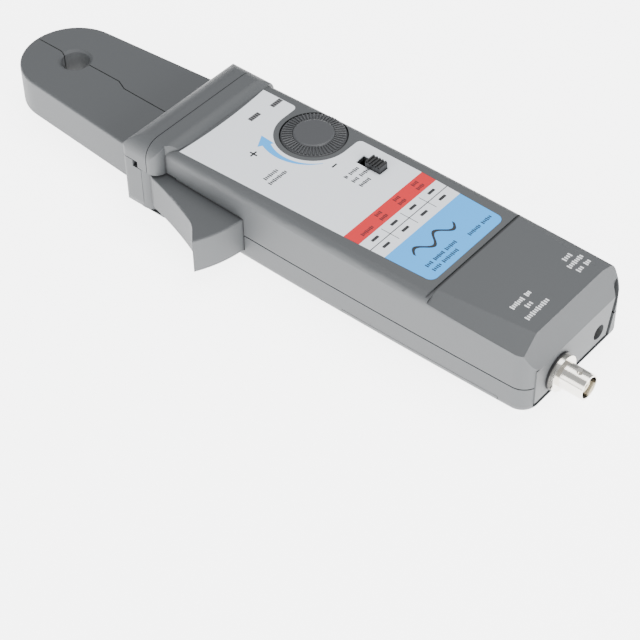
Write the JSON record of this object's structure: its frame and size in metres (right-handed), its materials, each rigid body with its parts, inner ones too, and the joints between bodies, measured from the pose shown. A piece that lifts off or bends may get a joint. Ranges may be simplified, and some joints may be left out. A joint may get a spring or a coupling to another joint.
{
  "type": "clamp-on current probe",
  "caption": "Hand-held clamp-on current probe with a sprung jaw, squeeze lever, zero thumbwheel, range slide switch, battery door and coaxial output.",
  "frame": {"origin": "middle of the front guard's underside, on the plane the probe rests on, on the casing's centreline", "axes": "+X towards the coaxial output at the tail, +Y towards the thumbwheel's side (away from the lever), +Z out of the face with the label"},
  "size_m": [0.2743, 0.0774, 0.036],
  "materials": {
    "casing_grey": "fine moulded texture, mid grey",
    "label_print": "printed film, light grey with a red and a blue band",
    "window_smoke": "smoked clear plastic",
    "lamp_lens": "moulded lamp lenses",
    "knob_grey": "dark grey moulded knob",
    "black_plastic": "black moulded plastic",
    "bright_nickel": "bright nickel plate",
    "cream_insulator": "cream insulator",
    "contact_brass": "plated contacts and bush",
    "zinc_steel": "zinc-plated steel",
    "core_alloy": "dark laminated core",
    "coil_copper": "enamelled winding",
    "board_green": "solder mask",
    "battery_jacket": "plain dark jacket",
    "wire_skin": "insulated wire"
  },
  "bodies": {
    "casing": {"top_cover": "casing_grey", "bottom_cover": "casing_grey", "front_guard_upper": "casing_grey", "front_guard_lower": "casing_grey", "fixed_jaw": "casing_grey", "fixed_jaw_lid": "casing_grey", "fixed_core": "core_alloy", "fixed_winding": "coil_copper", "hall_sensor": "black_plastic", "coil_lead": "wire_skin", "hinge_pin": "zinc_steel", "jaw_spring": "zinc_steel", "front_label": "label_print", "light_windows": "window_smoke", "status_lights": "lamp_lens", "potentiometer": "black_plastic", "range_switch": "black_plastic", "circuit_board": "board_green", "board_screws": "zinc_steel", "amplifier_shield": "zinc_steel", "amplifier_chips": "black_plastic", "battery": "battery_jacket", "battery_terminals": "contact_brass", "battery_snap": "black_plastic", "battery_leads": "wire_skin", "end_panel": "casing_grey", "bnc_shell": "bright_nickel", "bnc_insulator": "cream_insulator", "bnc_contact": "contact_brass", "bnc_washer": "black_plastic", "bnc_nut": "bright_nickel", "output_lead": "wire_skin", "dc_jack": "black_plastic", "dc_jack_pin": "contact_brass", "dc_jack_lead": "wire_skin", "cover_screws": "zinc_steel"},
    "moving_jaw": {"moving_jaw": "casing_grey", "moving_jaw_lid": "casing_grey", "moving_core": "core_alloy", "lever": "casing_grey", "lever_screws": "zinc_steel", "hinge_bush": "contact_brass"},
    "zero_knob": {"zero_knob": "knob_grey", "knob_shaft": "zinc_steel"},
    "range_slider": {"range_slider": "black_plastic"},
    "battery_door": {"battery_door": "casing_grey", "door_screw": "zinc_steel"}
  },
  "joints": [
    {"name": "jaw_hinge", "type": "hinge", "parent": "casing", "child": "moving_jaw", "pos_m": [0.0015, -0.025, 0.0123], "axis": [0, 0, 1], "range_deg": [0, 15], "stiffness_Nm_per_rad": 0.6, "springref_deg": -14.32},
    {"name": "zero_knob_spin", "type": "hinge", "parent": "casing", "child": "zero_knob", "pos_m": [0.0465, 0.0142, 0.0303], "axis": [0, 0, 1], "range_deg": [-135, 135]},
    {"name": "range_slide", "type": "slide", "parent": "casing", "child": "range_slider", "axis": [-1, 0, 0], "range_m": [0, 0.004]},
    {"name": "battery_door_lift", "type": "slide", "parent": "casing", "child": "battery_door", "axis": [0, 0, -1], "range_m": [0, 0.03]}
  ]
}
